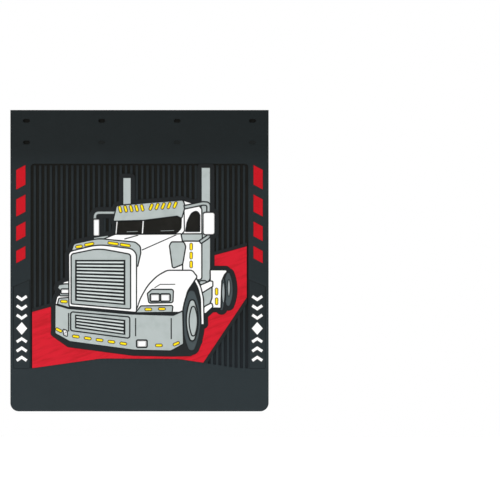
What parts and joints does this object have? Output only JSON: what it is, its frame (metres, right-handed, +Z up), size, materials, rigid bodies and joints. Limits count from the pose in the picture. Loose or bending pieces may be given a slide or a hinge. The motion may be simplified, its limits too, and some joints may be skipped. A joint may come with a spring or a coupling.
{
  "type": "mud flap",
  "caption": "Rubber truck mud flap: a slotted bolt-up band, a ribbed panel with a raised coloured truck picture and red side markers, and a plain skirt, bending on two flex lines.",
  "frame": {"origin": "centre of the upper row of bolt slots, on the flat back face that lies against the hanger", "axes": "+Z up when hung; +X to the right when looking at the picture; the picture faces -Y (rearward on the truck), so +Y points to the tyre"},
  "size_m": [0.6096, 0.0115, 0.7112],
  "materials": {
    "black_rubber": "matt moulded black rubber, faintly grained",
    "backing_rubber": "matt black rubber",
    "red_inlay": "satin red rubber inlay",
    "white_inlay": "satin white rubber inlay",
    "grey_inlay": "satin grey rubber inlay",
    "amber_inlay": "satin amber-yellow rubber inlay",
    "slate_inlay": "satin slate grey rubber inlay",
    "window_inlay": "satin near-black rubber inlay"
  },
  "bodies": {
    "band": {"mounting_band": "black_rubber"},
    "panel": {"air_cleaner": "grey_inlay", "bumper": "grey_inlay", "bumper_lights": "amber_inlay", "cab_belt": "grey_inlay", "cab_side": "white_inlay", "cab_side_lights": "amber_inlay", "deck_box": "white_inlay", "deck_box_lights": "amber_inlay", "door_window": "window_inlay", "far_fender": "white_inlay", "far_lamp_housing": "grey_inlay", "far_lamp_lens": "white_inlay", "far_mirror": "white_inlay", "far_stack": "grey_inlay", "fog_lamps": "white_inlay", "front_tyre": "slate_inlay", "fuel_tank": "grey_inlay", "grille_louvres": "grey_inlay", "grille_panel": "grey_inlay", "grille_shell": "white_inlay", "headlamp_housing": "grey_inlay", "headlamp_lenses": "white_inlay", "hood": "white_inlay", "intake_louvres": "grey_inlay", "intake_plate": "grey_inlay", "label_marks_left": "white_inlay", "label_marks_right": "white_inlay", "marker_left_1": "red_inlay", "marker_left_2": "red_inlay", "marker_left_3": "red_inlay", "marker_left_4": "red_inlay", "marker_right_1": "red_inlay", "marker_right_2": "red_inlay", "marker_right_3": "red_inlay", "marker_right_4": "red_inlay", "mirror_arms": "grey_inlay", "near_fender": "white_inlay", "near_mirror": "white_inlay", "near_stack": "grey_inlay", "nose_band": "grey_inlay", "nose_lights": "amber_inlay", "picture_backing": "backing_rubber", "picture_panel": "black_rubber", "rear_rims": "grey_inlay", "rear_tyres": "slate_inlay", "road_inlay": "red_inlay", "side_steps": "white_inlay", "signal_lights": "amber_inlay", "signal_strip": "grey_inlay", "visor": "grey_inlay", "visor_lights": "amber_inlay", "wheel_flare": "white_inlay", "wheel_hub": "grey_inlay", "wheel_rim": "grey_inlay", "windscreen_frame": "white_inlay", "windscreen_panes": "window_inlay", "wipers": "grey_inlay"},
    "skirt": {"lower_skirt": "black_rubber"}
  },
  "joints": [
    {"name": "upper_flex", "type": "hinge", "parent": "band", "child": "panel", "pos_m": [0, -0.004, -0.078], "axis": [1, 0, 0], "range_deg": [-45, 25], "stiffness_Nm_per_rad": 2},
    {"name": "lower_flex", "type": "hinge", "parent": "panel", "child": "skirt", "pos_m": [0, -0.004, -0.612], "axis": [1, 0, 0], "range_deg": [-35, 35], "stiffness_Nm_per_rad": 1.5}
  ]
}
